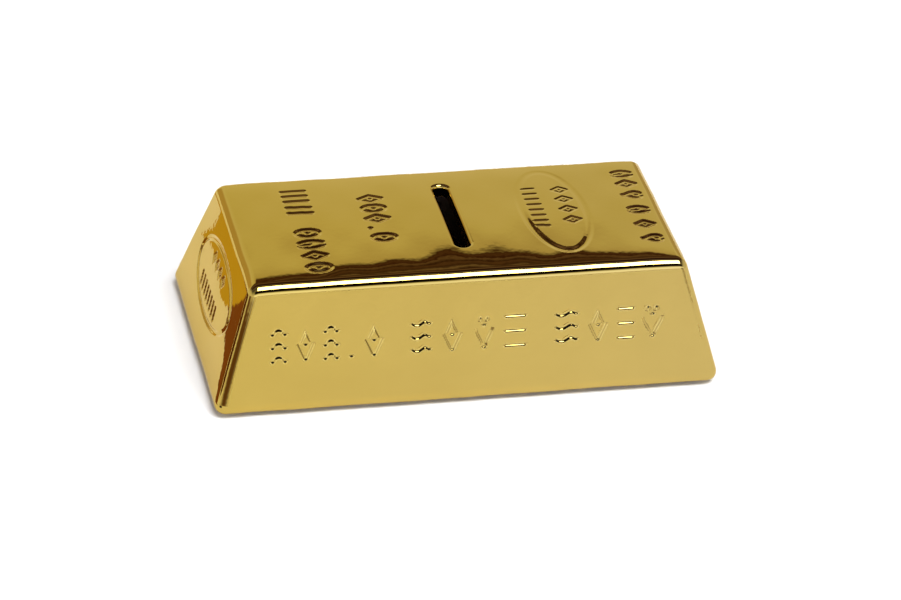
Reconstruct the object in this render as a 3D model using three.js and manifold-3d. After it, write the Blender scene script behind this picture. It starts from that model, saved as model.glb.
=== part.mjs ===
// A ceramic money box in the shape of a gold bar, with a coin slot in its top and a soft
// stopper in its base. Millimetres, +Z up, the origin on the ground under the bar's middle.
import * as THREE from 'three';
import { ConvexGeometry } from 'three/addons/geometries/ConvexGeometry.js';
import { mergeVertices } from 'three/addons/utils/BufferGeometryUtils.js';
import Module from 'manifold-3d';

const wasm = await Module();
wasm.setup();

// ---- Driving dimensions ----

// The bar: its overall size at the rounded foot, its height at the crown's edges, how far the
// crown rises above them in its middle, and how far each face leans in per unit of height.
const BAR = { footLength: 172, footWidth: 89, edgeHeight: 44, crownRise: 1 };
const LEAN = { ends: 0.3056, sides: 0.2639 };
const FOOT_RADIUS = 4;
const CROWN_RADIUS = 3;
const CROWN_GRID = 4;
const WALL = 4;
const CAVITY_EDGE_RADIUS = 3;

// The felt pads that the bar stands on.
const PAD = { radius: 6, thickness: 1, fromCentreX: 67, fromCentreY: 28 };

// The coin slot: a stadium across the crown, a little off the middle.
const SLOT = { x: 0.8, y: 1.6, width: 5, length: 40 };

// The round recess in the base that keeps the stopper off the ground, and its hole.
const RECESS = { radius: 22.5, depth: 2.5 };
const RECESS_BOSS_RADIUS = 28;
const HOLE_RADIUS = 18;

// The stopper, from the top of its flange.
const RUNNING_GAP = 0.3;
const FLANGE = { radius: 21, thickness: 1.8, edge: 0.7 };
const NECK_RADIUS = 16.9;
const LIP = { radius: HOLE_RADIUS - RUNNING_GAP, height: 0.9, leadIn: 2 };
const PLUG_TOP_WALL = 1.4;
const PLUG_FLOOR = 2;
const FINGER_DISH = { radius: 12, depth: 3, draft: 1.2 };
const GRIP_BAR = { width: 3.2, length: 23.4, height: 2.6, sink: 0.6 };

// Facets in a full turn.
const EDGE_FACETS = 24;
const ROUND_FACETS = 64;
const OVERSHOOT = 5;

// ---- Solids ----

function solidOf(geometry) {
  const bare = geometry.clone();
  bare.deleteAttribute('normal');
  bare.deleteAttribute('uv');
  const merged = mergeVertices(bare, 1e-4);
  return new wasm.Manifold(new wasm.Mesh({
    numProp: 3,
    vertProperties: new Float32Array(merged.attributes.position.array),
    triVerts: new Uint32Array(merged.index.array),
  }));
}

function geometryOf(solid) {
  const { vertProperties, triVerts } = solid.getMesh();
  const geometry = new THREE.BufferGeometry();
  geometry.setAttribute('position', new THREE.BufferAttribute(new Float32Array(vertProperties), 3));
  geometry.setIndex(new THREE.BufferAttribute(new Uint32Array(triVerts), 1));
  geometry.computeVertexNormals();
  return geometry;
}

function namedMesh(name, geometry, material) {
  const mesh = new THREE.Mesh(geometry, material);
  mesh.name = name;
  return mesh;
}

function upright(radius, bottom, top) {
  return new THREE.CylinderGeometry(radius, radius, top - bottom, ROUND_FACETS)
    .rotateX(Math.PI / 2)
    .translate(0, 0, (bottom + top) / 2);
}

// ---- Body shell ----

// The half-size of the sharp foot whose rounded edge has the bar's overall size.
function sharpFoot(overall, lean) {
  return overall / 2 + FOOT_RADIUS * (lean + Math.hypot(1, lean) - 1);
}

// A corner ball's distance from the middle, so that it touches the face set in by inset.
function ballHalf(overall, lean, radius, inset, z) {
  return sharpFoot(overall, lean) - lean * z - (inset + radius) * Math.hypot(1, lean);
}

function cornerBalls(inset, radius, z) {
  const halfX = ballHalf(BAR.footLength, LEAN.ends, radius, inset, z);
  const halfY = ballHalf(BAR.footWidth, LEAN.sides, radius, inset, z);
  const ball = new THREE.SphereGeometry(radius, EDGE_FACETS, EDGE_FACETS / 2);
  const ballPoints = ball.rotateX(Math.PI / 2).attributes.position;
  const points = [];
  for (const [signX, signY] of [[1, 1], [1, -1], [-1, 1], [-1, -1]]) {
    const corner = new THREE.Vector3(signX * halfX, signY * halfY, z);
    for (let i = 0; i < ballPoints.count; i += 1) {
      points.push(new THREE.Vector3().fromBufferAttribute(ballPoints, i).add(corner));
    }
  }
  return { points, halfX, halfY };
}

// A frustum with rounded edges and a domed crown: the bar's outside shrunk by inset all over.
function roundedBar(inset, footRadius, crownRadius) {
  const edgeTop = BAR.edgeHeight - inset;
  const foot = cornerBalls(inset, footRadius, inset + footRadius);
  const crown = cornerBalls(inset, crownRadius, edgeTop - crownRadius);
  const points = [...foot.points, ...crown.points];
  for (let i = -CROWN_GRID; i <= CROWN_GRID; i += 1) {
    for (let j = -CROWN_GRID; j <= CROWN_GRID; j += 1) {
      const acrossX = i / CROWN_GRID;
      const acrossY = j / CROWN_GRID;
      const rise = BAR.crownRise * (1 - acrossX ** 2) * (1 - acrossY ** 2);
      points.push(new THREE.Vector3(acrossX * crown.halfX, acrossY * crown.halfY, edgeTop + rise));
    }
  }
  return new ConvexGeometry(points);
}

function slotCutter() {
  const radius = SLOT.width / 2;
  const reach = SLOT.length / 2 - radius;
  const outline = new THREE.Shape();
  outline.absarc(0, reach, radius, 0, Math.PI, false);
  outline.absarc(0, -reach, radius, Math.PI, 2 * Math.PI, false);
  return new THREE.ExtrudeGeometry(outline, {
    depth: WALL + BAR.crownRise + 2 * OVERSHOOT,
    bevelEnabled: false,
    curveSegments: ROUND_FACETS / 4,
  }).translate(SLOT.x, SLOT.y, BAR.edgeHeight - WALL - OVERSHOOT);
}

function bodyShell() {
  const cavityFloor = RECESS.depth + WALL;
  const shell = solidOf(roundedBar(0, FOOT_RADIUS, CROWN_RADIUS))
    .subtract(solidOf(roundedBar(WALL, CAVITY_EDGE_RADIUS, CAVITY_EDGE_RADIUS)))
    .add(solidOf(upright(RECESS_BOSS_RADIUS, WALL / 2, cavityFloor)))
    .subtract(solidOf(upright(RECESS.radius, -OVERSHOOT, RECESS.depth)))
    .subtract(solidOf(upright(HOLE_RADIUS, -OVERSHOOT, cavityFloor + OVERSHOOT)))
    .subtract(solidOf(slotCutter()));
  const glaze = new THREE.MeshStandardMaterial({ color: 0xd8b04c, roughness: 0.06, metalness: 1 });
  const mesh = namedMesh('body_shell', geometryOf(shell), glaze);
  mesh.position.z = PAD.thickness;
  return mesh;
}

// ---- Stopper ----

function stopperProfile() {
  const underside = -FLANGE.thickness;
  const dishCeiling = underside + FINGER_DISH.depth;
  const plugFloor = dishCeiling + PLUG_FLOOR;
  const neckTop = WALL + 2 * RUNNING_GAP;
  const plugTop = neckTop + 2 * LIP.height + LIP.leadIn;
  const mouthRadius = LIP.radius - 1.1;
  return [
    [0, dishCeiling],
    [FINGER_DISH.radius - FINGER_DISH.draft, dishCeiling],
    [FINGER_DISH.radius, underside],
    [FLANGE.radius - FLANGE.edge, underside],
    [FLANGE.radius, underside + FLANGE.edge],
    [FLANGE.radius, -FLANGE.edge / 2],
    [FLANGE.radius - FLANGE.edge / 2, 0],
    [NECK_RADIUS, 0],
    [NECK_RADIUS, neckTop],
    [LIP.radius, neckTop + LIP.height],
    [LIP.radius, neckTop + 2 * LIP.height],
    [mouthRadius, plugTop],
    [mouthRadius - PLUG_TOP_WALL, plugTop],
    [mouthRadius - 2 * PLUG_TOP_WALL, plugFloor],
    [0, plugFloor],
  ].map(([radius, height]) => new THREE.Vector2(radius, height));
}

function gripBar() {
  const bottom = -FLANGE.thickness + GRIP_BAR.sink;
  return new THREE.BoxGeometry(GRIP_BAR.length, GRIP_BAR.width, GRIP_BAR.height)
    .translate(0, 0, bottom + GRIP_BAR.height / 2);
}

function stopper() {
  const plug = new THREE.LatheGeometry(stopperProfile(), ROUND_FACETS).rotateX(Math.PI / 2);
  const solid = solidOf(plug).add(solidOf(gripBar()));
  const softPlastic = new THREE.MeshStandardMaterial({ color: 0x1b1b1c, roughness: 0.55, metalness: 0 });
  const mesh = namedMesh('stopper', geometryOf(solid), softPlastic);
  mesh.position.z = PAD.thickness + RECESS.depth - RUNNING_GAP;
  return mesh;
}

// ---- Foot pads ----

function footPads() {
  const pads = new THREE.Group();
  const places = [[-1, -1], [1, -1], [1, 1], [-1, 1]];
  places.forEach(([signX, signY], index) => {
    const felt = new THREE.MeshStandardMaterial({ color: 0x3a3836, roughness: 0.95, metalness: 0 });
    const pad = namedMesh(`foot_pad_${index + 1}`, upright(PAD.radius, 0, PAD.thickness), felt);
    pad.position.set(signX * PAD.fromCentreX, signY * PAD.fromCentreY, 0);
    pads.add(pad);
  });
  return pads;
}

const moneyBox = new THREE.Group();
moneyBox.add(bodyShell(), stopper(), footPads());

export default moneyBox;
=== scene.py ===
"""A gold-lustred ceramic money box in the shape of a bar, on a pale studio floor.

Forms are worked out in millimetres and written to the scene in metres. Heights of the bar are
counted from the ceramic underside, which stands on four felt pads.
"""
import math

import bmesh
import bpy
import numpy as np
from mathutils import Matrix, Vector


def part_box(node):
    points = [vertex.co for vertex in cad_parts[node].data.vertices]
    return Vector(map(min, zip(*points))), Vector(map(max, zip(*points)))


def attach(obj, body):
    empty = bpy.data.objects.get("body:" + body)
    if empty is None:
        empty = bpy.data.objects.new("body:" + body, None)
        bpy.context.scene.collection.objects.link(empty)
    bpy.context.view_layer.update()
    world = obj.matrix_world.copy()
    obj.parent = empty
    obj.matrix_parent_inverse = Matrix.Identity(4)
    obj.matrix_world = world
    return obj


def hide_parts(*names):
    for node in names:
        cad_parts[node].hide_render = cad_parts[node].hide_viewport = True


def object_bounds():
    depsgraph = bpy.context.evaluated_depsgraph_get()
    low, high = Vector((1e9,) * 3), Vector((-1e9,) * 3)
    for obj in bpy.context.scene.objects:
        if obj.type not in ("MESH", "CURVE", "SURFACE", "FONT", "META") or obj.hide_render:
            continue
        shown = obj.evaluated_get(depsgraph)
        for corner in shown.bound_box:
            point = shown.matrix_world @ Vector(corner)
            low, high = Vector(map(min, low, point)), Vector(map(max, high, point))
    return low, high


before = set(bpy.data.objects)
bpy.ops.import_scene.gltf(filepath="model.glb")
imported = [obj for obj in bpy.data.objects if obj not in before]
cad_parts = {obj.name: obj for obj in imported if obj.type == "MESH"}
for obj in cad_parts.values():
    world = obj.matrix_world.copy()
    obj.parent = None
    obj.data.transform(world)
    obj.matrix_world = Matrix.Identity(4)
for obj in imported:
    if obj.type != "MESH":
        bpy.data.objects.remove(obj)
cad_low, cad_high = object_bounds()

MM = 0.001


def box_in_mm(node):
    """A CAD node's lowest and highest corner, in millimetres."""
    low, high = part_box(node)
    return np.array(low) / MM, np.array(high) / MM


# ---- Camera ----

# The fit to the photograph: angles in degrees, the lens in millimetres on a 36 mm sensor.
CAMERA = {
    "target_mm": (6.8, 18.2, 1.0),
    "distance_mm": 1466.0,
    "azimuth": -14.36,
    "elevation": 32.09,
    "roll": 3.96,
    "lens": 169.4,
}


def make_camera():
    azimuth, elevation, roll = (math.radians(CAMERA[k]) for k in ("azimuth", "elevation", "roll"))
    back = Vector((
        math.sin(azimuth) * math.cos(elevation),
        -math.cos(azimuth) * math.cos(elevation),
        math.sin(elevation),
    ))
    level_right = Vector((0, 0, 1)).cross(back).normalized()
    level_up = back.cross(level_right)
    right = math.cos(roll) * level_right + math.sin(roll) * level_up
    up = back.cross(right)
    data = bpy.data.cameras.new("camera")
    data.lens = CAMERA["lens"]
    data.sensor_width = 36.0
    data.clip_start = 0.01
    data.clip_end = 100.0
    camera = bpy.data.objects.new("camera", data)
    camera.matrix_world = Matrix((right, up, back)).transposed().to_4x4()
    camera.location = (Vector(CAMERA["target_mm"]) + back * CAMERA["distance_mm"]) * MM
    bpy.context.scene.collection.objects.link(camera)
    bpy.context.scene.camera = camera


make_camera()


# ---- Small helpers ----

def smooth(t):
    """An ease from 0 to 1 as t goes from 0 to 1."""
    t = np.clip(t, 0.0, 1.0)
    return t * t * (3.0 - 2.0 * t)


def add_mesh(name, mesh):
    obj = bpy.data.objects.new(name, mesh)
    bpy.context.scene.collection.objects.link(obj)
    return obj


# ---- Ornament: strokes in a unit square centred on the origin, as polylines ----

def line(*points):
    return np.array(points, float)


def arc(cx, cy, rx, ry, start, end, count=17):
    turn = np.radians(np.linspace(start, end, count))
    return np.column_stack((cx + rx * np.cos(turn), cy + ry * np.sin(turn)))


DOT_LENGTH = 1e-3


def dot(cx=0.0, cy=0.0):
    return line((cx, cy), (cx + DOT_LENGTH, cy))


def lozenge():
    """A diamond round a dot."""
    return [line((0, 0.5), (0.5, 0), (0, -0.5), (-0.5, 0), (0, 0.5)), dot()]


def rosette():
    """A ring round a dot."""
    return [arc(0, 0, 0.5, 0.5, 0, 360, 33), dot()]


def scales():
    """Three shallow bows, one over another."""
    return [arc(0, y - 0.16, 0.5, 0.20, 14, 166) for y in (-0.42, 0.04, 0.5)]


def stack():
    """Three level bars, one over another."""
    return [line((-0.5, y), (0.5, y)) for y in (-0.5, 0.0, 0.5)]


def ripples():
    """Three level waves, one over another."""
    x = np.linspace(-0.5, 0.5, 25)
    ripple = 0.06 * np.sin(2 * math.pi * x)
    return [np.column_stack((x, ripple + y)) for y in (-0.44, 0.0, 0.44)]


def leaf():
    """A pointed oval with the start of a rib."""
    side = arc(-0.75, 0, 1.25, 0.8333, -36.87, 36.87)
    return [side, -side, line((0, -0.45), (0, -0.1))]


def heart():
    """A closed heart, by the usual sine and cosine curve."""
    turn = np.linspace(0, 2 * math.pi, 37)
    x = np.sin(turn) ** 3
    y = (13 * np.cos(turn) - 5 * np.cos(2 * turn) - 2 * np.cos(3 * turn) - np.cos(4 * turn)) / 29 + 0.09
    return [np.column_stack((x / 2, y))]


def bar():
    return [line((0, -0.5), (0, 0.5))]


def slant():
    return [line((-0.3, -0.5), (0.3, 0.5))]


def placed(motif, centre, size, turn=0.0):
    """A motif's polylines, sized, turned by degrees and moved to centre."""
    c, s = math.cos(math.radians(turn)), math.sin(math.radians(turn))
    matrix = np.array([[c, s], [-s, c]])
    return [(np.asarray(p) * size) @ matrix + centre for p in motif()]


NEAR_MARGIN = 5.0
FAR = 1e3


class Grooves:
    """Round-edged strokes of one width, pressed into a face.

    Their depth is even, or grows from one place to another along the face's second axis:
    depths is then ((place, depth), (place, depth)).
    """

    def __init__(self, groups, flat, wall, depth=None, depths=None):
        self.groups = []
        self.flat, self.wall = flat, wall
        self.depths = depths or ((0.0, depth), (1.0, depth))
        for lines in groups:
            starts = np.vstack([p[:-1] for p in lines])
            ends = np.vstack([p[1:] for p in lines])
            self.groups.append((starts, ends))

    def distance(self, points):
        """The distance from each point to the nearest stroke's middle, where it is near one."""
        reach = self.flat + self.wall + NEAR_MARGIN
        nearest = np.full(len(points), FAR)
        for starts, ends in self.groups:
            low = np.minimum(starts, ends).min(0) - reach
            high = np.maximum(starts, ends).max(0) + reach
            near = np.flatnonzero(np.all((points > low) & (points < high), axis=1))
            if not len(near):
                continue
            p = points[near]
            best = nearest[near]
            for a, b in zip(starts, ends):
                along = b - a
                share = np.clip((p - a) @ along / (along @ along), 0, 1)
                best = np.minimum(best, np.hypot(*(p - a - share[:, None] * along).T))
            nearest[near] = best
        return nearest

    def sink(self, points):
        """How deep the face is pressed in at each point."""
        depth = np.interp(points[:, 1], *zip(*self.depths))
        return depth * (1.0 - smooth((self.distance(points) - self.flat) / self.wall))


# ---- The ornament on each face, in face coordinates ----

# The front's row of marks: its height, its middle's height on the face, and a stroke's width.
FRONT_CAP = 12.6
FRONT_MIDDLE = 24.8
FRONT_STROKE = 2.4


def front_row(*spans):
    """Motifs side by side on the front; each span is (motif, from x, to x)."""
    height = FRONT_CAP - FRONT_STROKE
    return [
        placed(motif, ((x0 + x1) / 2, FRONT_MIDDLE), (x1 - x0 - FRONT_STROKE, height))
        for motif, x0, x1 in spans
    ]


def front_left_groups():
    groups = front_row(
        (scales, -68.2, -61.5), (lozenge, -59.2, -52.5), (scales, -50.5, -44.1), (lozenge, -36.4, -29.3),
    )
    groups.append([dot(-40.5, FRONT_MIDDLE - FRONT_CAP / 2 + FRONT_STROKE / 2)])
    return groups


def front_right_groups():
    return front_row(
        (ripples, -20.9, -13.1), (lozenge, -10.0, -2.9), (heart, 0.8, 8.0), (stack, 10.7, 19.2),
        (ripples, 28.1, 37.0), (lozenge, 39.8, 47.0), (stack, 49.5, 56.4), (heart, 58.1, 66.4),
    )


def column(x_middle, cap, width, *places):
    """Motifs one under another along the crown, their tops towards +X; each place is (motif, y)."""
    return [placed(motif, (x_middle, y), (width, cap), -90) for motif, y in places]


def ring_groups(cx, cy, rx, ry):
    """A ring in short stretches, so that each is only measured near itself."""
    whole = arc(cx, cy, rx, ry, 0, 360, 73)
    return [[whole[i:i + 10]] for i in range(0, 72, 9)]


def crown_column_groups():
    groups = column(-49.5, 7.6, 1.0, *((bar, y) for y in (23.6, 20.2, 16.8)), (slant, 12.6), (slant, 9.0))
    groups += column(-49.5, 7.6, 4.2, (rosette, -3.8), (leaf, -10.9), (lozenge, -17.8), (rosette, -25.0))
    groups += column(-24.5, 7.6, 4.0, (lozenge, 15.4), (rosette, 8.9), (lozenge, 2.4), (rosette, -9.6))
    groups.append([dot(-28.0, -3.6)])
    groups += column(
        65.3, 6.2, 3.6,
        (leaf, 22.6), (lozenge, 16.0), (heart, 8.6), (leaf, -1.2), (lozenge, -10.4), (heart, -19.6),
    )
    return groups


def crown_oval_marks():
    first = column(30.2, 4.0, 0.8, *((bar, 15.5 - 3.5 * i) for i in range(7)), (slant, -8.6))
    second = column(41.2, 5.4, 3.6, *((lozenge, y) for y in (14.0, 7.6, 1.0, -5.8)))
    return first + second


def end_oval_marks():
    """Two rows inside the end's oval, placed by (across, up the face)."""
    first = [placed(slant, (y, 19.6), (2.2, 4.2), 180) for y in np.arange(14.0, -11.0, -3.4)]
    second = [placed(lozenge, (y, 30.6), (2.8, 3.4), 180) for y in (9.0, 3.8, -1.4, -6.8)]
    return first + second


FRONT_ORNAMENT = [
    Grooves(front_left_groups(), flat=0.05, wall=1.15, depth=0.42),
    Grooves(front_right_groups(), flat=0.05, wall=1.15, depth=0.475),
]
CROWN_ORNAMENT = [
    Grooves(crown_column_groups(), flat=0.10, wall=1.20, depths=((-22.0, 0.42), (22.0, 0.27))),
    Grooves(ring_groups(36.2, 1.3, 10.9, 25.4), flat=0.15, wall=1.60, depths=((-22.0, 0.34), (16.0, 0.09))),
    Grooves(crown_oval_marks(), flat=0.05, wall=0.95, depths=((-10.0, 0.24), (15.0, 0.16))),
]
END_ORNAMENT = [
    Grooves(ring_groups(0, 25, 25, 11.3), flat=0.15, wall=1.05, depth=0.40),
    Grooves(end_oval_marks(), flat=0.10, wall=0.85, depth=0.30),
]


# ---- The bar's form ----

shell_low, shell_high = box_in_mm("body_shell")
UNDERSIDE = shell_low[2]
CROWN_RISE = 1.0
# Kept free inside the CAD box, for the waviness of the walls.
WAVE_ROOM = 0.16
EDGE_HEIGHT = shell_high[2] - shell_low[2] - CROWN_RISE - WAVE_ROOM / 2
# How far the ends and the long sides lean in per unit of height.
LEAN = np.array([0.3056, 0.2639])
SLOPE = np.hypot(1, LEAN)
WALL = 4.0

# How the outside's edges are rounded: downwards from the crown, upwards from the foot, and
# sideways at the crown and at the foot.
OUTER_EDGES = {"crown": 3.0, "foot": 4.5, "side": 3.0, "side_foot": 4.8, "squareness": 2.1}
INNER_EDGES = {"crown": 3.0, "foot": 3.0, "side": 3.0, "side_foot": 3.0, "squareness": 2.0}
# How the crown falls away towards its edges, and how far down the walls that fades out.
ROLL = {"depth": 0.45, "width": 13.0, "fade": 14.0}


def sharp_foot_half(edges):
    """The half-size of the sharp-edged foot whose rounded form fills the CAD box."""
    up, side = edges["foot"], edges["side_foot"]
    tilt = np.arctan(LEAN * up / side)
    overhang = LEAN * up * (1 - np.sin(tilt)) + side * (1 - np.cos(tilt))
    return (shell_high[:2] - shell_low[:2]) / 2 - WAVE_ROOM + overhang


class Form:
    """A truncated pyramid with rounded edges and a domed crown, drawn from a plain box's surface."""

    def __init__(self, bottom, top, foot_half, edges, roll_depth):
        self.bottom, self.top = bottom, top
        self.foot_half, self.edges, self.roll_depth = foot_half, edges, roll_depth
        self.half = self.half_at(top)
        self.inner = self.half - edges["side"]

    def half_at(self, z):
        """The half-size of the sharp-edged form at the level z."""
        return self.foot_half - LEAN * np.asarray(z)[..., None]

    def side_radius(self, z):
        """The upright edges' radius at the level z."""
        drop = np.clip(1 - (z - self.bottom) / (self.top - self.bottom), 0, 1)
        return self.edges["side"] + (self.edges["side_foot"] - self.edges["side"]) * drop ** 2

    def spread(self, z):
        """How much wider the level z is than the crown, inside the rounded edges."""
        return (self.half_at(z) - np.asarray(self.side_radius(z))[..., None]) / self.inner

    def point(self, q):
        """The surface point for a point q of the box's surface."""
        edges = self.edges
        low = np.array([-self.inner[0], -self.inner[1], self.bottom + edges["foot"]])
        high = np.array([self.inner[0], self.inner[1], self.top - edges["crown"]])
        core = np.clip(q, low, high)
        reach = np.full_like(q, edges["side"])
        reach[:, 2] = np.where(q[:, 2] > high[2], edges["crown"], edges["foot"])
        way = (q - core) / reach
        power = edges["squareness"]
        way = way / (np.sum(np.abs(way) ** power, axis=1) ** (1 / power))[:, None]
        z = core[:, 2] + reach[:, 2] * way[:, 2]
        across = (core[:, :2] + edges["side"] * way[:, :2]) / self.half
        from_edge = self.half * (1 - np.abs(across))
        roll = self.roll_depth * np.sum(np.clip(1 - from_edge / ROLL["width"], 0, None) ** 3, axis=1)
        dome = CROWN_RISE * np.prod(1 - across ** 2, axis=1)
        z = z + (dome - roll) * smooth((z - self.top) / ROLL["fade"] + 1)
        level = np.minimum(z, self.top)
        xy = core[:, :2] * self.spread(level) + self.side_radius(level)[:, None] * way[:, :2]
        return np.column_stack((xy, z))


OUTSIDE = Form(0.0, EDGE_HEIGHT, sharp_foot_half(OUTER_EDGES), OUTER_EDGES, ROLL["depth"])
CAVITY = Form(
    WALL, EDGE_HEIGHT - WALL, sharp_foot_half(OUTER_EDGES) - WALL * SLOPE, INNER_EDGES, 0.0,
)


def flat_face(p):
    return p[:, :2]


def leaning_face(axis, hand):
    """Face coordinates of a leaning wall: along one axis of the ground, and up the slope."""
    def face(p):
        return np.column_stack((hand * p[:, axis], p[:, 2] * SLOPE[1 - axis]))
    return face


# Each panel of the box: its two running axes, its fixed axis, the side it is on, its ornament, and
# its face coordinates.
PANELS = {
    "crown": (0, 1, 2, 1, CROWN_ORNAMENT, flat_face),
    "base": (0, 1, 2, -1, [], None),
    "front": (0, 2, 1, -1, FRONT_ORNAMENT, leaning_face(0, 1)),
    "back": (0, 2, 1, 1, FRONT_ORNAMENT, leaning_face(0, -1)),
    "left_end": (1, 2, 0, -1, END_ORNAMENT, leaning_face(1, 1)),
    "right_end": (1, 2, 0, 1, END_ORNAMENT, leaning_face(1, -1)),
}
WALLS = ("front", "back", "left_end", "right_end")


def panel_hand(fixed, side):
    """1 where the panel's running axes turn counter-clockwise seen from outside, else -1."""
    return side if fixed != 1 else -side


# The waviness as sines: height in millimetres, radians per millimetre along X, Y and Z, and phase.
WAVES = [
    (0.050, (0.150, 0.060, 0.03), 0.4),
    (0.040, (-0.055, 0.170, 0.05), 1.9),
    (0.030, (0.230, -0.110, 0.12), 3.1),
    (0.022, (0.310, 0.220, -0.10), 5.0),
    (0.012, (-0.420, 0.330, 0.20), 2.2),
]


def undulation(p):
    """The slow waviness of a slip-cast wall, in millimetres along the surface's normal."""
    total = np.zeros(len(p))
    for height, wave, phase in WAVES:
        total += height * np.sin(p @ np.array(wave) + phase)
    return total


def slope_normals(surface, q, axis_a, axis_b, step=0.02):
    """Unit normals of surface(q), from differences along two axes of the box's panel."""
    shift_a, shift_b = np.zeros_like(q), np.zeros_like(q)
    shift_a[:, axis_a] = step
    shift_b[:, axis_b] = step
    along_a = surface(q + shift_a) - surface(q - shift_a)
    along_b = surface(q + shift_b) - surface(q - shift_b)
    normals = np.cross(along_a, along_b)
    return normals / np.linalg.norm(normals, axis=1)[:, None]


def outer_surface(panel):
    """The finished outside of one panel as a function of box points."""
    axis_a, axis_b, fixed, side, ornament, face = PANELS[panel]
    hand = panel_hand(fixed, side)

    def surface(q):
        p = OUTSIDE.point(q)
        normals = slope_normals(OUTSIDE.point, q, axis_a, axis_b) * hand
        height = undulation(p)
        if ornament:
            flat = face(p)
            height = height - np.max([g.sink(flat) for g in ornament], axis=0)
        return p + normals * height[:, None]

    return surface, axis_a, axis_b, hand


# ---- Mesh making ----

class Builder:
    """Vertices with their normals, and faces with their material number."""

    def __init__(self):
        self.points, self.normals, self.faces, self.materials = [], [], [], []

    def add(self, points, normals=None):
        """Adds vertices and returns their numbers."""
        first = len(self.points)
        self.points.extend(np.asarray(points, float))
        self.normals.extend([None] * len(points) if normals is None else list(normals))
        return list(range(first, first + len(points)))

    def face(self, ids, material):
        self.faces.append(ids)
        self.materials.append(material)

    def strip(self, ring_a, ring_b, material):
        """Quads between two closed rings of the same count."""
        count = len(ring_a)
        for i in range(count):
            j = (i + 1) % count
            self.face((ring_a[i], ring_a[j], ring_b[j], ring_b[i]), material)

    def zip_rings(self, outer, inner, centre, material):
        """Triangles between two closed rings of any count, both seen round centre."""
        def around(ids):
            turns = [math.atan2(self.points[i][1] - centre[1], self.points[i][0] - centre[0]) for i in ids]
            order = sorted(range(len(ids)), key=turns.__getitem__)
            return [ids[k] for k in order], [turns[k] for k in order]

        (a, turn_a), (b, turn_b) = around(outer), around(inner)
        i = j = 0
        while i < len(a) or j < len(b):
            next_a = turn_a[i + 1] if i + 1 < len(a) else turn_a[0] + 2 * math.pi
            next_b = turn_b[j + 1] if j + 1 < len(b) else turn_b[0] + 2 * math.pi
            if j >= len(b) or (i < len(a) and next_a <= next_b):
                self.face((a[i % len(a)], a[(i + 1) % len(a)], b[j % len(b)]), material)
                i += 1
            else:
                self.face((a[i % len(a)], b[(j + 1) % len(b)], b[j % len(b)]), material)
                j += 1


def panel_lines(low, high, low_radius, high_radius, fillet_steps, cell):
    """Grid lines across a box's side: fine over the rounded edges, even between them."""
    edge = 1 - np.tan(np.radians(45) * np.arange(fillet_steps, 0, -1) / fillet_steps)
    count = max(2, round((high - low - low_radius - high_radius) / cell))
    middle = np.linspace(low + low_radius, high - high_radius, count + 1)
    return np.concatenate((low + low_radius * edge, middle, high - high_radius * edge[::-1]))


LEVELS = 3
UNITS = 2 ** LEVELS
# A cell is split where a stroke is nearer than this share of its width, plus this much.
SPLIT_SHARE = 0.75
SPLIT_MARGIN = 0.15


def between_lines(lines, places):
    """Positions at places that are counted in grid lines."""
    return np.interp(places, np.arange(len(lines)), lines)


def split_cells(lines_a, lines_b, fillet_steps, near_stroke, hole):
    """The panel's cells, halved up to LEVELS times near strokes, as corners and sizes in UNITS."""
    count_a, count_b = len(lines_a) - 1, len(lines_b) - 1
    a, b = np.meshgrid(np.arange(count_a), np.arange(count_b), indexing="ij")
    a, b = a.ravel(), b.ravel()
    inside = (a >= fillet_steps) & (a < count_a - fillet_steps)
    inside &= (b >= fillet_steps) & (b < count_b - fillet_steps)
    if hole:
        keep = ~((a >= hole[0]) & (a < hole[1]) & (b >= hole[2]) & (b < hole[3]))
        a, b, inside = a[keep], b[keep], inside[keep]
    done = [np.column_stack((a[~inside], b[~inside])) * UNITS]
    sizes = [np.full(len(done[0]), UNITS)]
    cells = np.column_stack((a[inside], b[inside])) * UNITS
    size = UNITS
    while size > 1 and near_stroke:
        middle = (cells + size / 2) / UNITS
        width = between_lines(lines_a, middle[:, 0] + 0.5) - between_lines(lines_a, middle[:, 0] - 0.5)
        points = np.column_stack((
            between_lines(lines_a, middle[:, 0]), between_lines(lines_b, middle[:, 1]),
        ))
        split = near_stroke(points, width * size / UNITS * SPLIT_SHARE)
        done.append(cells[~split])
        sizes.append(np.full(len(done[-1]), size))
        size //= 2
        base = cells[split]
        cells = np.vstack([base + (i, j) for i in (0, size) for j in (0, size)])
    done.append(cells)
    sizes.append(np.full(len(cells), size))
    return np.vstack(done), np.concatenate(sizes)


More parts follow.
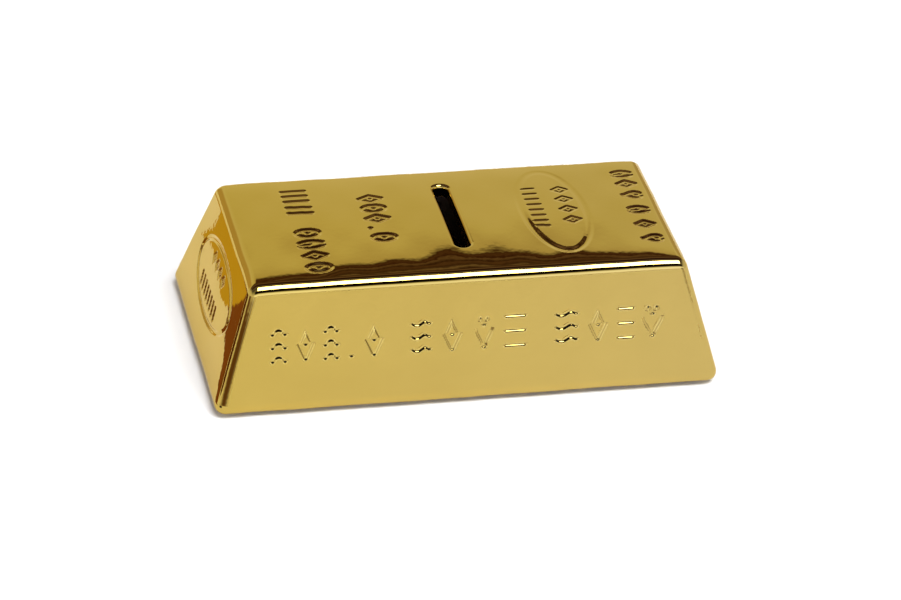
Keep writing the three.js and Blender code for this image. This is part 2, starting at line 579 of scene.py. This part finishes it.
class Skin:
    """The panels of a Form put into a Builder, with shared vertices where panels meet."""

    def __init__(self, builder, form, fillet_steps, cell, material):
        self.builder, self.form = builder, form
        self.fillet_steps, self.material = fillet_steps, material
        side, foot, crown = (form.edges[k] for k in ("side", "foot", "crown"))
        self.lines = [panel_lines(-half, half, side, side, fillet_steps, cell) for half in form.half]
        self.lines.append(panel_lines(form.bottom, form.top, foot, crown, fillet_steps, cell))
        self.known = {}

    def hole_cells(self, low, high, level):
        """The index range of the crown's or base's cells that cover a rectangle at that level."""
        low, high = low / self.form.spread(level), high / self.form.spread(level)
        spans = []
        for axis in (0, 1):
            lines = self.lines[axis]
            spans.append(int(np.searchsorted(lines, low[axis], "right")) - 1)
            spans.append(int(np.searchsorted(lines, high[axis], "left")))
        return spans

    def panel(self, name, surface, hole=None):
        """Adds one panel, and returns its hole's rim as vertex numbers."""
        axis_a, axis_b, fixed, side, ornament, face = PANELS[name]
        lines_a, lines_b = self.lines[axis_a], self.lines[axis_b]
        level = self.form.top if side > 0 else self.form.bottom
        level = level if fixed == 2 else side * self.form.half[fixed]

        def on_box(points):
            q = np.empty((len(points), 3))
            q[:, axis_a], q[:, axis_b], q[:, fixed] = points[:, 0], points[:, 1], level
            return q

        near_stroke = None
        if surface and ornament:
            def near_stroke(points, reach):
                flat = face(self.form.point(on_box(points)))
                gaps = [g.distance(flat) - g.flat - g.wall for g in ornament]
                return np.min(gaps, axis=0) < reach + SPLIT_MARGIN

        cells, sizes = split_cells(lines_a, lines_b, self.fillet_steps, near_stroke, hole)
        corners = {}
        for (a, b), size in zip(cells.tolist(), sizes.tolist()):
            for corner in ((a, b), (a + size, b), (a + size, b + size), (a, b + size)):
                corners.setdefault(corner, None)
        places = np.array(list(corners), float) / UNITS

        def on_form(places):
            return on_box(np.column_stack((
                between_lines(lines_a, places[:, 0]), between_lines(lines_b, places[:, 1]),
            )))

        self._place(surface, corners, on_form(places))
        self._faces(surface, cells, sizes, corners, on_form, panel_hand(fixed, side))
        if hole:
            return self._rim(corners, hole)
        return None

    def _solve(self, surface, q):
        """Points and normals for points q of the box; the plain Form where there is no surface."""
        if surface is None:
            return self.form.point(q), None
        shape, axis_a, axis_b, hand = surface
        return shape(q), slope_normals(shape, q, axis_a, axis_b) * hand

    def _place(self, surface, corners, q):
        """Gives each corner a vertex, shared with the panels that were added before."""
        points, normals = self._solve(surface, q)
        keys = [tuple(row) for row in np.round(q, 5).tolist()]
        for index, (corner, key) in enumerate(zip(corners, keys)):
            if key not in self.known:
                own = None if normals is None else [normals[index]]
                self.known[key] = self.builder.add([points[index]], own)[0]
            corners[corner] = self.known[key]

    def _faces(self, surface, cells, sizes, corners, on_form, hand):
        """A quad for each cell, or a fan round its middle where a neighbour is finer."""
        fans, middles = [], []
        for (a, b), size in zip(cells.tolist(), sizes.tolist()):
            loop = [(a + k, b) for k in range(size)]
            loop += [(a + size, b + k) for k in range(size)]
            loop += [(a + size - k, b + size) for k in range(size)]
            loop += [(a, b + size - k) for k in range(size)]
            ids = [corners[c] for c in loop if c in corners]
            if hand < 0:
                ids = ids[::-1]
            if len(ids) == 4:
                self.builder.face(tuple(ids), self.material)
            else:
                fans.append(ids)
                middles.append(((a + size / 2) / UNITS, (b + size / 2) / UNITS))
        if not fans:
            return
        points, normals = self._solve(surface, on_form(np.array(middles)))
        for middle, ids in zip(self.builder.add(points, normals), fans):
            for i, one in enumerate(ids):
                self.builder.face((one, ids[(i + 1) % len(ids)], middle), self.material)

    def _rim(self, corners, hole):
        """The vertices round a hole that was given in cells."""
        a0, a1, b0, b1 = (v * UNITS for v in hole)
        rim = [c for c in corners if (
            (c[0] in (a0, a1) and b0 <= c[1] <= b1) or (c[1] in (b0, b1) and a0 <= c[0] <= a1)
        )]
        return [corners[c] for c in rim]


def stadium(centre, width, length, grow, per_cap=21, per_side=13):
    """A slot's outline grown outwards, with the outward direction at each point."""
    straight = (length - width) / 2
    turn = np.linspace(0, math.pi, per_cap)
    way = np.column_stack((np.cos(turn), np.sin(turn)))
    caps = [way * (width / 2 + grow) + (0, straight), -way * (width / 2 + grow) - (0, straight)]
    sides = np.linspace(straight, -straight, per_side + 2)[1:-1]
    left = np.column_stack((np.full(per_side, -width / 2 - grow), sides))
    right = -left
    points = np.vstack((caps[0], left, caps[1], right)) + centre
    out = np.vstack((way, np.tile((-1.0, 0.0), (per_side, 1)), -way, np.tile((1.0, 0.0), (per_side, 1))))
    return points, out


def circle(radius, count=96):
    turn = np.linspace(0, 2 * math.pi, count, endpoint=False)
    return np.column_stack((np.cos(turn), np.sin(turn))) * radius


GOLD, BISQUE = 0, 1
SLOT = {"x": 0.8, "y": 1.6, "width": 5.0, "length": 40.0}
LIP_RADIUS = 1.4
LIP_STEPS = 8


def slot_rings(builder, crown_rim, ceiling_rim):
    """The coin slot: a rounded lip in the crown, the wall's thickness, and a lip in the ceiling."""
    centre = np.array([SLOT["x"], SLOT["y"]])
    shape, axis_a, axis_b, hand = outer_surface("crown")
    rings = []

    def crown_ring(grow, drop_by, lean):
        """A ring on the crown, let down, its normals leaning in by radians."""
        flat, out = stadium(centre, SLOT["width"], SLOT["length"], grow)
        q = np.column_stack((flat, np.full(len(flat), OUTSIDE.top)))
        points = shape(q)
        points[:, 2] -= drop_by
        normals = slope_normals(shape, q, axis_a, axis_b) * hand * math.cos(lean)
        normals[:, :2] -= out * math.sin(lean)
        rings.append(builder.add(points, normals))

    def wall_ring(grow, z, lean):
        """A level ring in the slot's wall, its normals leaning in by radians."""
        flat, out = stadium(centre, SLOT["width"], SLOT["length"], grow)
        points = np.column_stack((flat, np.full(len(flat), z)))
        normals = np.column_stack((-out * math.sin(lean), np.full(len(out), math.cos(lean))))
        rings.append(builder.add(points, normals))

    for grow in (LIP_RADIUS + 1.1, LIP_RADIUS + 0.4):
        crown_ring(grow, 0.0, 0.0)
    for step in range(LIP_STEPS + 1):
        lean = math.pi / 2 * step / LIP_STEPS
        crown_ring(LIP_RADIUS * (1 - math.sin(lean)), LIP_RADIUS * (1 - math.cos(lean)), lean)
    ceiling = CAVITY.top
    wall_ring(0.0, ceiling + 2.0, math.pi / 2)
    wall_ring(0.0, ceiling + 0.8, math.pi / 2)
    gold_until = len(rings)
    wall_ring(0.15, ceiling + 0.25, math.pi * 3 / 4)
    wall_ring(0.6, ceiling + 0.1, math.pi)
    builder.zip_rings(crown_rim, rings[0], centre, GOLD)
    for index, (upper, lower) in enumerate(zip(rings, rings[1:])):
        builder.strip(upper, lower, GOLD if index < gold_until else BISQUE)
    builder.zip_rings(ceiling_rim, rings[-1], centre, BISQUE)


RECESS_RADIUS, RECESS_DEPTH = 22.5, 2.5
HOLE_RADIUS = 18.0
BOSS_RADIUS = 28.0
BOSS_TOP = RECESS_DEPTH + WALL


def base_rings(builder, base_rim, floor_rim):
    """The recess in the base, the stopper's hole, and the boss round it inside."""
    lip, lip_steps, soft = 0.8, 5, 0.5
    glazed = [(RECESS_RADIUS + lip + 0.6, 0.0)]
    for step in range(lip_steps + 1):
        lean = math.pi / 2 * step / lip_steps
        glazed.append((RECESS_RADIUS + lip * (1 - math.sin(lean)), lip * (1 - math.cos(lean))))
    bare = [
        (RECESS_RADIUS, RECESS_DEPTH - soft),
        (RECESS_RADIUS - soft * 0.3, RECESS_DEPTH - soft * 0.3),
        (RECESS_RADIUS - soft, RECESS_DEPTH),
        (HOLE_RADIUS + soft, RECESS_DEPTH),
        (HOLE_RADIUS + soft * 0.3, RECESS_DEPTH + soft * 0.3),
        (HOLE_RADIUS, RECESS_DEPTH + soft),
        (HOLE_RADIUS, BOSS_TOP - soft),
        (HOLE_RADIUS + soft * 0.3, BOSS_TOP - soft * 0.3),
        (HOLE_RADIUS + soft, BOSS_TOP),
        (BOSS_RADIUS - 1, BOSS_TOP),
        (BOSS_RADIUS - 0.3, BOSS_TOP - 0.3),
        (BOSS_RADIUS, BOSS_TOP - 1),
        (BOSS_RADIUS + 0.4, WALL + 0.4),
        (BOSS_RADIUS + 1.4, WALL),
    ]
    rings = []
    for radius, z in glazed + bare:
        flat = circle(radius)
        rings.append(builder.add(np.column_stack((flat, np.full(len(flat), z)))))
    builder.zip_rings(base_rim, rings[0], (0, 0), GOLD)
    for index, (ring_a, ring_b) in enumerate(zip(rings, rings[1:])):
        builder.strip(ring_a, ring_b, GOLD if index < len(glazed) else BISQUE)
    builder.zip_rings(floor_rim, rings[-1], (0, 0), BISQUE)


def finish_mesh(name, builder):
    """The Builder's faces as a Blender mesh, facing out, smooth, with the normals it was given."""
    mesh = bpy.data.meshes.new(name)
    points = np.array(builder.points)
    points[:, 2] += UNDERSIDE
    mesh.from_pydata((points * MM).tolist(), [], builder.faces)
    mesh.polygons.foreach_set("material_index", builder.materials)
    mesh.polygons.foreach_set("use_smooth", [True] * len(builder.faces))
    work = bmesh.new()
    work.from_mesh(mesh)
    bmesh.ops.recalc_face_normals(work, faces=work.faces)
    work.to_mesh(mesh)
    work.free()
    own = np.empty(len(points) * 3)
    mesh.vertex_normals.foreach_get("vector", own)
    own = own.reshape(-1, 3)
    for index, normal in enumerate(builder.normals):
        if normal is not None:
            own[index] = normal
    mesh.normals_split_custom_set_from_vertices(own.tolist())
    return mesh


def body_shell():
    """The whole ceramic: outside, hollow, slot, recess and hole, as one closed mesh."""
    builder = Builder()
    outside = Skin(builder, OUTSIDE, fillet_steps=8, cell=2.8, material=GOLD)
    reach = np.array([SLOT["width"], SLOT["length"]]) / 2 + LIP_RADIUS + 1.4
    middle = np.array([SLOT["x"], SLOT["y"]])
    slot_hole = outside.hole_cells(middle - reach, middle + reach, OUTSIDE.top)
    base_reach = np.full(2, RECESS_RADIUS + 2.0)
    base_hole = outside.hole_cells(-base_reach, base_reach, OUTSIDE.bottom)
    crown_rim = outside.panel("crown", outer_surface("crown"), slot_hole)
    base_rim = outside.panel("base", outer_surface("base"), base_hole)
    for name in WALLS:
        outside.panel(name, outer_surface(name))
    inside = Skin(builder, CAVITY, fillet_steps=2, cell=7.0, material=BISQUE)
    ceiling_hole = inside.hole_cells(middle - reach, middle + reach, CAVITY.top)
    floor_reach = np.full(2, BOSS_RADIUS + 1.6)
    floor_hole = inside.hole_cells(-floor_reach, floor_reach, CAVITY.bottom)
    ceiling_rim = inside.panel("crown", None, ceiling_hole)
    floor_rim = inside.panel("base", None, floor_hole)
    for name in WALLS:
        inside.panel(name, None)
    slot_rings(builder, crown_rim, ceiling_rim)
    base_rings(builder, base_rim, floor_rim)
    return add_mesh("gold_shell", finish_mesh("gold_shell", builder))


# ---- Stopper and foot pads ----

def softened(profile, radius, steps=4):
    """A profile of (radius, height) points with all but its end points rounded off."""
    points = [Vector(p) for p in profile]
    out = [points[0]]
    for before, corner, after in zip(points, points[1:], points[2:]):
        room_before = min(radius, (before - corner).length * 0.45)
        room_after = min(radius, (after - corner).length * 0.45)
        start = corner + (before - corner).normalized() * room_before
        end = corner + (after - corner).normalized() * room_after
        for i in range(steps + 1):
            t = i / steps
            out.append(start * (1 - t) ** 2 + corner * 2 * t * (1 - t) + end * t ** 2)
    return out + [points[-1]]


def lathe(work, profile, centre, count=128, wobble=None):
    """Turns a profile, which starts and ends on the axis, round the vertical through centre."""
    rings = []
    for radius, height in profile:
        if radius == 0:
            rings.append([work.verts.new((centre[0] * MM, centre[1] * MM, (centre[2] + height) * MM))])
            continue
        ring = []
        for k in range(count):
            turn = 2 * math.pi * k / count
            r = radius * (1 + (wobble(turn, height) if wobble else 0.0))
            ring.append(work.verts.new((
                (centre[0] + r * math.cos(turn)) * MM,
                (centre[1] + r * math.sin(turn)) * MM,
                (centre[2] + height) * MM,
            )))
        rings.append(ring)
    for lower, upper in zip(rings, rings[1:]):
        for k in range(count):
            j = (k + 1) % count
            corners = [lower[k % len(lower)], lower[j % len(lower)]]
            corners += [upper[j % len(upper)], upper[k % len(upper)]]
            unique = list(dict.fromkeys(corners))
            if len(unique) > 2:
                work.faces.new(unique)


def smooth_object(name, work):
    """A bmesh made into an object, facing out and shaded smooth."""
    bmesh.ops.recalc_face_normals(work, faces=work.faces)
    mesh = bpy.data.meshes.new(name)
    work.to_mesh(mesh)
    work.free()
    mesh.polygons.foreach_set("use_smooth", [True] * len(mesh.polygons))
    return add_mesh(name, mesh)


FLANGE_THICKNESS = 1.8
FINGER_DISH = {"radius": 12.0, "depth": 3.0, "draft": 1.2}
GRIP_BAR = {"width": 3.2, "length": 23.4, "height": 2.6, "sink": 0.6, "edge": 0.9}
BEAD = {"height": 0.25, "half_width": 0.5, "radii": (14.2, 16.4, 18.6)}


def beads():
    """Fine raised rings on the flange's underside, from the dish outwards."""
    half = BEAD["half_width"]
    return [
        (radius + across, -FLANGE_THICKNESS + (0.0 if across == 0 else BEAD["height"]))
        for radius in BEAD["radii"] for across in (-half, 0, half)
    ]


def stopper():
    """A soft plug: a flange with a finger dish and a grip bar, a neck, and a lip that snaps in."""
    low, high = box_in_mm("stopper")
    middle = (low + high) / 2
    flange = (high[0] - low[0]) / 2
    flange_top = low[2] + FLANGE_THICKNESS
    plug_top = high[2] - flange_top
    underside = -FLANGE_THICKNESS
    dish_ceiling = underside + FINGER_DISH["depth"]
    neck, lip = HOLE_RADIUS - 1.1, HOLE_RADIUS - 0.3
    profile = [(0, dish_ceiling), (FINGER_DISH["radius"] - FINGER_DISH["draft"], dish_ceiling)]
    rim = underside + BEAD["height"]
    profile += [(FINGER_DISH["radius"], rim)] + beads()
    profile += [
        (flange - 0.5, rim), (flange, underside + 0.7), (flange, -0.35), (flange - 0.35, 0),
        (neck, 0), (neck, plug_top - 3.8), (lip, plug_top - 2.9), (lip, plug_top - 2.0),
        (lip - 1.1, plug_top), (lip - 2.5, plug_top),
        (lip - 3.9, dish_ceiling + 2.0), (0, dish_ceiling + 2.0),
    ]
    work = bmesh.new()
    lathe(work, softened(profile, 0.35), (middle[0], middle[1], flange_top))
    grip = bmesh.ops.create_cube(work, size=1.0)["verts"]
    size = Vector((GRIP_BAR["length"], GRIP_BAR["width"], GRIP_BAR["height"])) * MM
    bottom = flange_top + underside + GRIP_BAR["sink"]
    place = Vector((middle[0], middle[1], bottom + GRIP_BAR["height"] / 2)) * MM
    for vert in grip:
        vert.co = Vector(a * b for a, b in zip(vert.co, size)) + place
    edges = list({edge for vert in grip for edge in vert.link_edges})
    bmesh.ops.bevel(
        work, geom=edges, offset=GRIP_BAR["edge"] * MM, segments=5, profile=0.5, affect="EDGES",
    )
    return smooth_object("rubber_stopper", work)


def foot_pad(index):
    """A die-cut felt disc: slightly ragged round its edge, its rims worn soft."""
    low, high = box_in_mm(f"foot_pad_{index}")
    radius, height = (high[0] - low[0]) / 2, high[2] - low[2]
    centre = (*((low + high) / 2)[:2], low[2])

    def ragged(turn, z):
        fibres = math.sin(23 * turn + index) + math.sin(41 * turn + 5 * z) + 0.7 * math.sin(67 * turn - 3 * z)
        return -0.012 + 0.004 * fibres

    profile = [(0, 0.03), (radius * 0.5, 0.02), (radius - 0.35, 0.02), (radius - 0.08, 0.16), (radius, 0.35)]
    profile += [(radius, height - 0.2), (radius - 0.15, height), (0, height)]
    work = bmesh.new()
    lathe(work, softened(profile, 0.2, 3), centre, 160, ragged)
    return smooth_object(f"felt_pad_{index}", work)


# ---- Materials ----

def node_material(name):
    """A new material, its nodes and links, its shader, and the object's own coordinates."""
    material = bpy.data.materials.new(name)
    material.use_nodes = True
    nodes, links = material.node_tree.nodes, material.node_tree.links
    place = nodes.new("ShaderNodeTexCoord").outputs["Object"]
    return material, nodes, links, nodes["Principled BSDF"], place


def noise(nodes, links, coordinates, scale, detail=2.0, rough=0.5):
    node = nodes.new("ShaderNodeTexNoise")
    node.inputs["Scale"].default_value = scale
    node.inputs["Detail"].default_value = detail
    node.inputs["Roughness"].default_value = rough
    links.new(coordinates, node.inputs["Vector"])
    return node.outputs["Fac"]


def ramp(nodes, links, factor, *stops):
    """A colour ramp; each stop is (place, colour or grey)."""
    node = nodes.new("ShaderNodeValToRGB")
    elements = node.color_ramp.elements
    while len(elements) < len(stops):
        elements.new(0.5)
    for element, (place, colour) in zip(elements, stops):
        element.position = place
        rgb = (colour,) * 3 if isinstance(colour, (int, float)) else colour
        element.color = (*rgb, 1.0)
    links.new(factor, node.inputs["Fac"])
    return node.outputs["Color"]


def bump(nodes, links, height, strength, distance):
    node = nodes.new("ShaderNodeBump")
    node.inputs["Strength"].default_value = strength
    node.inputs["Distance"].default_value = distance
    links.new(height, node.inputs["Height"])
    return node.outputs["Normal"]


def map_range(nodes, links, value, start, end, kind="SMOOTHSTEP"):
    """0 where the value is at start, and 1 where it is at end."""
    node = nodes.new("ShaderNodeMapRange")
    node.interpolation_type = kind
    links.new(value, node.inputs["Value"])
    node.inputs["From Min"].default_value = start
    node.inputs["From Max"].default_value = end
    return node.outputs["Result"]


def blend(nodes, links, factor, under, over):
    node = nodes.new("ShaderNodeMix")
    node.data_type = "RGBA"
    links.new(factor, node.inputs["Factor"])
    for socket, colour in (("A", under), ("B", over)):
        if isinstance(colour, tuple):
            node.inputs[socket].default_value = (*colour, 1.0)
        else:
            links.new(colour, node.inputs[socket])
    return node.outputs["Result"]


def gold_lustre():
    """Fired gold lustre over glaze: a mirror with a little orange peel and uneven thickness.

    Towards the left end (-X) the base colour is a shade warmer and towards the right a shade bluer: a painted
    tint for warmer light at the left and bluish daylight at the right.
    """
    material, nodes, links, shader, place = node_material("gold_lustre")
    parts = nodes.new("ShaderNodeSeparateXYZ")
    links.new(place, parts.inputs[0])
    along = map_range(nodes, links, parts.outputs["X"], cad_low[0], cad_high[0], "LINEAR")
    thickness = noise(nodes, links, place, 28.0, 3.0)
    # Painted light tint: the base colour runs warmer towards -X and bluer towards +X.
    thin = ramp(nodes, links, along, (0.0, (0.475, 0.336, 0.070)), (1.0, (0.462, 0.336, 0.098)))
    thick = ramp(nodes, links, along, (0.0, (0.502, 0.358, 0.078)), (1.0, (0.490, 0.358, 0.106)))
    uneven = ramp(nodes, links, thickness, (0.30, 0.0), (0.72, 1.0))
    links.new(blend(nodes, links, uneven, thin, thick), shader.inputs["Base Color"])
    smudges = noise(nodes, links, place, 60.0, 6.0, 0.6)
    links.new(ramp(nodes, links, smudges, (0.38, 0.012), (0.75, 0.04)), shader.inputs["Roughness"])
    peel = noise(nodes, links, place, 420.0, 1.0)
    links.new(bump(nodes, links, peel, 0.05, 0.0002), shader.inputs["Normal"])
    shader.inputs["Metallic"].default_value = 1.0
    shader.inputs["Specular Tint"].default_value = (0.92, 0.82, 0.64, 1.0)
    return material


def bisque():
    """Unglazed fired clay inside the bar and in the recess of its base, its colour darkened to a deep brown:
    painted shade for the dim hollow seen through the slot.
    """
    material, nodes, links, shader, place = node_material("bisque")
    mottle = noise(nodes, links, place, 90.0, 5.0)
    # Deep brown rather than pale clay: painted shade for the dim inside seen through the slot.
    colour = ramp(nodes, links, mottle, (0.3, (0.22, 0.15, 0.10)), (0.7, (0.31, 0.22, 0.15)))
    links.new(colour, shader.inputs["Base Color"])
    grain = noise(nodes, links, place, 1500.0, 4.0, 0.7)
    links.new(ramp(nodes, links, grain, (0.3, 0.75), (0.7, 0.95)), shader.inputs["Roughness"])
    links.new(bump(nodes, links, grain, 0.4, 0.0002), shader.inputs["Normal"])
    return material


def black_rubber():
    """Moulded soft plastic: satin, finely grained, a little dusty."""
    material, nodes, links, shader, place = node_material("black_rubber")
    dust = noise(nodes, links, place, 130.0, 5.0, 0.6)
    colour = ramp(nodes, links, dust, (0.45, (0.012, 0.012, 0.013)), (0.80, (0.045, 0.044, 0.042)))
    links.new(colour, shader.inputs["Base Color"])
    links.new(ramp(nodes, links, dust, (0.35, 0.42), (0.75, 0.62)), shader.inputs["Roughness"])
    grain = noise(nodes, links, place, 2600.0, 3.0, 0.6)
    links.new(bump(nodes, links, grain, 0.35, 0.0001), shader.inputs["Normal"])
    return material


def grey_felt():
    """Pressed wool felt: short crossing fibres, matt, with a soft sheen."""
    material, nodes, links, shader, place = node_material("grey_felt")
    stretch = nodes.new("ShaderNodeMapping")
    stretch.inputs["Scale"].default_value = (1.0, 5.0, 1.0)
    stretch.inputs["Rotation"].default_value = (0.0, 0.0, 0.6)
    links.new(place, stretch.inputs["Vector"])
    fibres = noise(nodes, links, stretch.outputs["Vector"], 900.0, 6.0, 0.7)
    fluff = noise(nodes, links, place, 2200.0, 5.0, 0.7)
    colour = ramp(nodes, links, fibres, (0.35, (0.030, 0.028, 0.026)), (0.65, (0.085, 0.080, 0.076)))
    links.new(colour, shader.inputs["Base Color"])
    links.new(ramp(nodes, links, fluff, (0.3, 0.88), (0.7, 1.0)), shader.inputs["Roughness"])
    links.new(bump(nodes, links, fluff, 0.8, 0.0003), shader.inputs["Normal"])
    shader.inputs["Sheen Weight"].default_value = 0.4
    return material


# ---- Studio ----

def make_floor():
    size = 4.0
    corners = [(-size, -size, 0), (size, -size, 0), (size, size, 0), (-size, size, 0)]
    mesh = bpy.data.meshes.new("floor")
    mesh.from_pydata(corners, [], [(0, 1, 2, 3)])
    floor = add_mesh("floor", mesh)
    material, nodes, links, shader, place = node_material("pale_floor")
    tone = noise(nodes, links, place, 6.0, 3.0)
    colour = ramp(nodes, links, tone, (0.3, (0.90, 0.90, 0.895)), (0.7, (0.93, 0.93, 0.925)))
    links.new(colour, shader.inputs["Base Color"])
    shader.inputs["Roughness"].default_value = 0.9
    shader.inputs["Specular IOR Level"].default_value = 0.0
    mesh.materials.append(material)


# Colours round the vault from the front horizon (0) over the top (90) to the back horizon (180),
# and up the two sides from the horizon (0) to the top (90). From 110 to 142 the vault is streaked:
# the crown mirrors that along its front edge.
VAULT = (
    (0, 1.10), (26, 1.05), (40, 0.75), (60, 0.30), (82, (0.05, 0.03, 0.03)), (87, (0.34, 0.32, 0.45)),
    (93, (0.22, 0.18, 0.22)), (97, (0.03, 0.01, 0.01)), (110, (0.05, 0.02, 0.02)),
    (117, (0.26, 0.17, 0.15)), (123, (0.16, 0.09, 0.07)), (128, (0.04, 0.02, 0.01)),
    (132, (0.12, 0.06, 0.04)), (133.5, (0.05, 0.02, 0.01)), (135, (0.26, 0.18, 0.13)),
    (136, (0.05, 0.02, 0.01)), (137.6, (0.15, 0.08, 0.05)), (138.6, (0.05, 0.02, 0.01)),
    (139.8, (0.21, 0.13, 0.09)), (140.6, (0.06, 0.02, 0.01)), (141.6, (0.14, 0.07, 0.04)),
    (142.4, (0.04, 0.01, 0.0)), (143.1, (0.74, 0.65, 0.40)), (147, (0.92, 0.87, 0.57)),
    (155, (1.00, 0.97, 0.78)), (180, 1.10),
)
SIDES = ((0, 1.10), (20, 1.00), (34, 0.84), (44, 0.34), (90, 0.12))


def make_world():
    """Studio light by direction: pale low walls, a soft box high in front, a dark streaked ceiling."""
    world = bpy.data.worlds.new("studio")
    bpy.context.scene.world = world
    world.use_nodes = True
    nodes, links = world.node_tree.nodes, world.node_tree.links
    direction = nodes.new("ShaderNodeTexCoord").outputs["Generated"]
    parts = nodes.new("ShaderNodeSeparateXYZ")
    links.new(direction, parts.inputs[0])

    def math_node(kind, a, b=None):
        node = nodes.new("ShaderNodeMath")
        node.operation = kind
        for socket, value in zip(node.inputs, (a, b)):
            if value is None:
                continue
            if isinstance(value, (int, float)):
                socket.default_value = value
            else:
                links.new(value, socket)
        return node.outputs[0]

    def window(value, low, high, soft):
        """1 between low and high, fading over soft at each side."""
        rise = map_range(nodes, links, value, low - soft, low + soft)
        fall = map_range(nodes, links, value, high + soft, high - soft)
        return math_node("MULTIPLY", rise, fall)

    def patch(*windows):
        """1 where all windows are open; each is (value, low, high, soft)."""
        light = window(*windows[0])
        for one in windows[1:]:
            light = math_node("MULTIPLY", light, window(*one))
        return light

    # Sideways is the direction's X; turn is degrees round the vault; elevation is degrees up.
    sideways = parts.outputs["X"]
    elevation = math_node("MULTIPLY", math_node("ARCSINE", parts.outputs["Z"]), 180 / math.pi)
    ahead = math_node("MULTIPLY", parts.outputs["Y"], -1.0)
    turn = math_node("MULTIPLY", math_node("ARCTAN2", parts.outputs["Z"], ahead), 180 / math.pi)
    vault = ramp(nodes, links, math_node("DIVIDE", turn, 180.0), *((t / 180, c) for t, c in VAULT))
    sides = ramp(nodes, links, math_node("DIVIDE", elevation, 90.0), *((t / 90, c) for t, c in SIDES))
    inward = window(sideways, -0.80, 0.80, 0.10)
    # In front: a bright sill low down, a black band over it, the key light over that, and a dark
    # patch low to the left. Behind: the low wall is dimmed to the left and to the right.
    black = patch((turn, 31.0, 56.0, 1.5), (sideways, -0.45, 0.72, 0.10))
    sill = patch((turn, 6.0, 24.5, 3.0), (sideways, -0.50, 0.80, 0.12))
    key = patch((turn, 55.0, 79.5, 1.0), (sideways, -0.08, 0.48, 0.04))
    low_left = patch((elevation, 2.4, 7.0, 1.5), (sideways, -1.10, -0.28, 0.05), (turn, 0.0, 60.0, 0.5))
    dim_left = patch((turn, 156.0, 182.0, 3.0), (sideways, -0.64, -0.34, 0.06))
    dim_right = patch((turn, 156.0, 182.0, 3.0), (sideways, 0.42, 0.66, 0.06))

    light = blend(nodes, links, inward, sides, vault)
    for place, colour in (
        (black, (0.012, 0.008, 0.006)), (dim_left, (0.74, 0.57, 0.28)), (low_left, (0.20, 0.10, 0.04)),
        (dim_right, (0.72, 0.62, 0.42)), (sill, (1.75, 1.90, 2.60)), (key, (15.0, 15.2, 15.6)),
    ):
        light = blend(nodes, links, place, light, colour)
    links.new(light, nodes["Background"].inputs["Color"])


# ---- Reflection cards: stage pieces that only the gold's mirror sees ----

def reflection_card(name, outline, colour, fade=0.0):
    """A glowing card, seen only in glossy reflections; outline is in millimetres.

    With fade, an upright card facing Y thins out to nothing over that many millimetres at its edges.
    """
    mesh = bpy.data.meshes.new(name)
    mesh.from_pydata([Vector(p) * MM for p in outline], [], [tuple(range(len(outline)))])
    card = add_mesh(name, mesh)
    material = bpy.data.materials.new(name)
    material.use_nodes = True
    nodes, links = material.node_tree.nodes, material.node_tree.links
    nodes.clear()
    output = nodes.new("ShaderNodeOutputMaterial")
    glow = nodes.new("ShaderNodeEmission")
    glow.inputs["Color"].default_value = (*colour, 1.0)
    surface = glow.outputs[0]
    if fade:
        place = nodes.new("ShaderNodeSeparateXYZ")
        links.new(nodes.new("ShaderNodeTexCoord").outputs["Object"], place.inputs[0])
        low, high = np.min(outline, axis=0), np.max(outline, axis=0)
        for axis, socket in ((0, "X"), (2, "Z")):
            for start, end in ((low[axis], low[axis] + fade), (high[axis], high[axis] - fade)):
                inside = map_range(nodes, links, place.outputs[socket], start * MM, end * MM)
                mix = nodes.new("ShaderNodeMixShader")
                links.new(inside, mix.inputs["Fac"])
                links.new(nodes.new("ShaderNodeBsdfTransparent").outputs[0], mix.inputs[1])
                links.new(surface, mix.inputs[2])
                surface = mix.outputs[0]
    links.new(surface, output.inputs["Surface"])
    mesh.materials.append(material)
    for ray in ("camera", "diffuse", "transmission", "volume_scatter", "shadow"):
        setattr(card, f"visible_{ray}", False)


def front_card():
    """A dim upright card in front, glowing and seen only in the gold's mirror, to the right of what the front
    mirrors to the camera: a painted dim reflection.
    """
    left, right, y, bottom, top = 140, 315, -225, 18, 110
    outline = ((left, y, bottom), (right, y, bottom), (right, y, top), (left, y, top))
    # A painted dim brown reflection: the card glows and only the gold mirrors it.
    reflection_card("front_card", outline, (0.34, 0.27, 0.12), fade=40)


def floor_cards():
    """Glowing cards lying on the floor to the left, seen only in the gold's mirror: what the left end and its
    edges mirror to the camera. They are painted reflections: amber and brown for floor in the bar's shadow
    tinted by light bounced off the gold, dark brown and near black for painted shade.
    """
    height = 0.5
    # Painted reflections of shaded floor, not real paper: each card glows with its colour and only the gold
    # mirrors it.
    painted_reflections = {
        "amber_painted_reflection": ((0.84, 0.58, 0.06), (
            (-113, 46), (-132, 78), (-175, 150), (-175, 190), (-140, 190), (-128, 128), (-113, 95),
            (-113, 70),
        )),
        "brown_painted_reflection": ((0.31, 0.11, 0.03), (
            (-113, 46), (-107, 25), (-101, 0), (-93, -26), (-110, -40), (-160, -10), (-175, 150),
            (-132, 78),
        )),
        "far_painted_reflection": ((0.16, 0.06, 0.02), ((-180, -25), (-180, 150), (-1200, 560), (-1200, -60))),
        "dark_painted_reflection": ((0.04, 0.015, 0.01), ((-100, -47), (-520, -150), (-520, -345), (-100, -56))),
    }
    for name, (colour, outline) in painted_reflections.items():
        reflection_card(name, [(x, y, height) for x, y in outline], colour)


make_floor()
make_world()
front_card()
floor_cards()
bpy.context.scene.view_settings.view_transform = "Standard"

shell = body_shell()
shell.data.materials.append(gold_lustre())
shell.data.materials.append(bisque())
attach(shell, "bank")
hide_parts("body_shell")

plug = stopper()
plug.data.materials.append(black_rubber())
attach(plug, "plug")
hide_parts("stopper")

felt = grey_felt()
for pad_number in range(1, 5):
    pad = foot_pad(pad_number)
    pad.data.materials.append(felt)
    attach(pad, "bank")
    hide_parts(f"foot_pad_{pad_number}")
